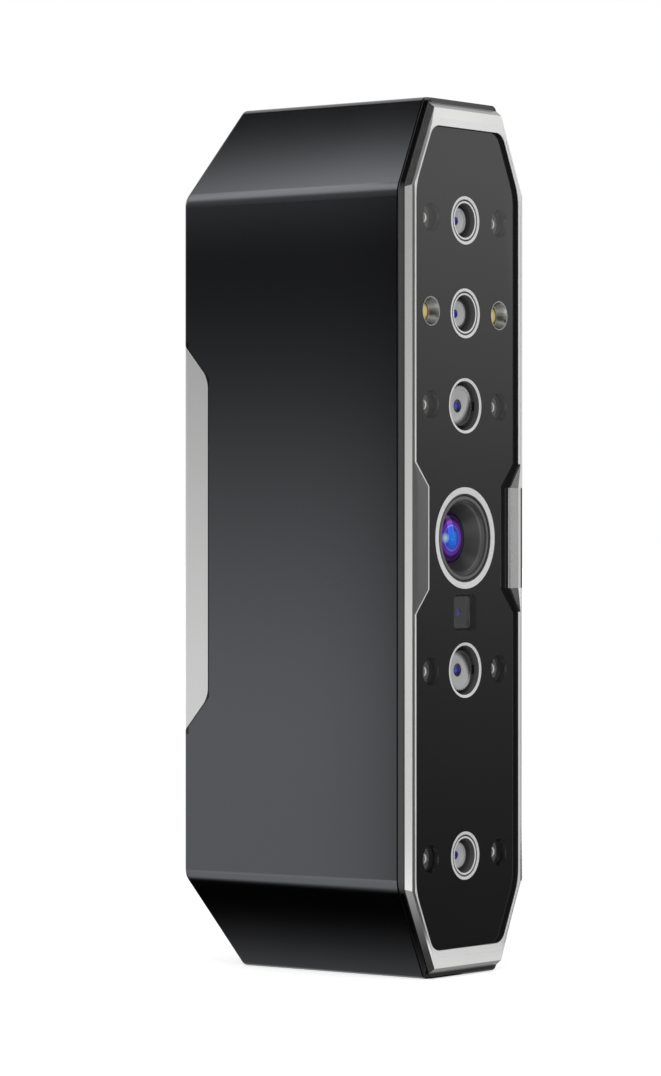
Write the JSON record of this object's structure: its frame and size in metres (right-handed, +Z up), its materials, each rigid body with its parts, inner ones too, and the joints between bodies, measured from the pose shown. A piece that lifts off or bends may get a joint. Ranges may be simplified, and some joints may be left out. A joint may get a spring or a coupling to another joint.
{
  "type": "handheld three-d scanner",
  "caption": "Handheld three-d scanner: tall octagonal black housing, silver faceted bezel, glossy window with cameras, projector and lamps, push buttons on the rear",
  "frame": {"origin": "middle of the bounding box at the bottom end face", "axes": "+Z up along the housing, -Y the way the lenses face, +X to the right seen from the front"},
  "size_m": [0.0496, 0.0716, 0.2157],
  "materials": {
    "black_housing": "satin black anodised",
    "black_plastic": "fine matte",
    "silver_metal": "satin silver anodised",
    "black_glass": "polished, printed black behind",
    "smoked_glass": "polished, dark tint",
    "camera_glass": "coated, blue glint",
    "projector_glass": "coated, violet glint",
    "barrel_metal": "dark grey anodised",
    "seal_rubber": "matte",
    "board": "solder mask",
    "bare_aluminium": "machined",
    "steel": "plain",
    "brass": "turned",
    "cable_film": "smooth film",
    "pad": "soft",
    "gloss_panel": "gloss",
    "button_plastic": "satin",
    "light_pipe": "clear",
    "lamp_clear": "clear resin",
    "phosphor": "smooth"
  },
  "bodies": {
    "scanner_body": {"board_spacers": "brass", "button_board": "board", "camera_boards": "board", "colour_lens": "camera_glass", "colour_lens_barrel": "barrel_metal", "colour_lens_ring": "silver_metal", "control_panel": "gloss_panel", "flat_cables": "cable_film", "front_bezel": "silver_metal", "front_frame": "black_plastic", "front_window": "black_glass", "groove_ring": "seal_rubber", "heat_spreader": "bare_aluminium", "housing_shell": "black_housing", "infrared_lamps": "lamp_clear", "inner_screws": "steel", "lamp_board": "board", "lamp_windows": "smoked_glass", "lens_holders": "black_plastic", "light_baffle": "black_plastic", "lower_inner_lens": "camera_glass", "lower_inner_lens_barrel": "barrel_metal", "lower_inner_lens_ring": "silver_metal", "lower_outer_lens": "camera_glass", "lower_outer_lens_barrel": "barrel_metal", "lower_outer_lens_ring": "silver_metal", "main_board": "board", "optical_bench": "bare_aluminium", "projector_barrel": "barrel_metal", "projector_heat_sink": "bare_aluminium", "projector_housing": "black_plastic", "projector_lens": "projector_glass", "projector_ring": "silver_metal", "rear_cover": "black_plastic", "rear_cover_screws": "steel", "rear_trim": "silver_metal", "reflector_cups": "silver_metal", "sensor_core": "black_plastic", "sensor_lens": "camera_glass", "sensor_window": "smoked_glass", "status_light_pipes": "light_pipe", "switch_bodies": "black_plastic", "thermal_pad": "pad", "tripod_insert": "steel", "upper_inner_lens": "camera_glass", "upper_inner_lens_barrel": "barrel_metal", "upper_inner_lens_ring": "silver_metal", "upper_outer_lens": "camera_glass", "upper_outer_lens_barrel": "barrel_metal", "upper_outer_lens_ring": "silver_metal", "usb_socket": "steel", "white_lamps": "phosphor", "window_seal": "seal_rubber"},
    "scan_button": {"scan_button": "button_plastic", "scan_switch_stem": "black_plastic"},
    "plus_button": {"plus_button": "button_plastic", "plus_switch_stem": "black_plastic"},
    "minus_button": {"minus_button": "button_plastic", "minus_switch_stem": "black_plastic"}
  },
  "joints": [
    {"name": "scan_press", "type": "slide", "parent": "scanner_body", "child": "scan_button", "axis": [0, -1, 0], "range_m": [0, 0.0005], "stiffness_N_per_m": 600, "springref_m": -0.002},
    {"name": "plus_press", "type": "slide", "parent": "scanner_body", "child": "plus_button", "axis": [0, -1, 0], "range_m": [0, 0.0005], "stiffness_N_per_m": 600, "springref_m": -0.002},
    {"name": "minus_press", "type": "slide", "parent": "scanner_body", "child": "minus_button", "axis": [0, -1, 0], "range_m": [0, 0.0005], "stiffness_N_per_m": 600, "springref_m": -0.002}
  ]
}
